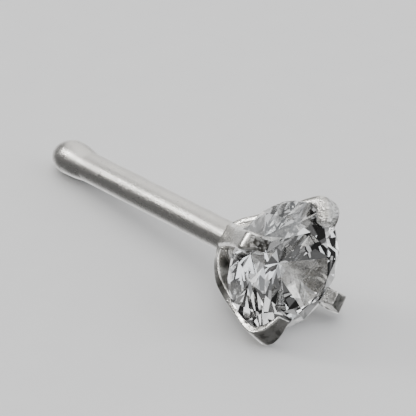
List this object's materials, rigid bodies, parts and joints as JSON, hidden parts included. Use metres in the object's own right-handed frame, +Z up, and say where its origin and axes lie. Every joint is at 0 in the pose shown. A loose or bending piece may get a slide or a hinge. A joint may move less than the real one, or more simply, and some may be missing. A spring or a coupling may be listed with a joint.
{
  "type": "nose stud",
  "caption": "Straight nose stud: round post with a bead on one end and a clear round brilliant in a flared claw setting on the other, lying on its side.",
  "frame": {"origin": "on the surface that the stud lies on, under the middle of its bounding box", "axes": "+X along the post towards the stone, seen from above; +Z up; the post rises a few degrees towards the stone"},
  "size_m": [0.0112, 0.0032, 0.0033],
  "materials": {
    "silver_metal": "satin post with fine lengthwise marks, brighter hand-finished claws",
    "clear_stone": "clear, polished, faceted"
  },
  "bodies": {
    "root": {"post_and_setting": "silver_metal", "stone": "clear_stone"}
  },
  "joints": []
}
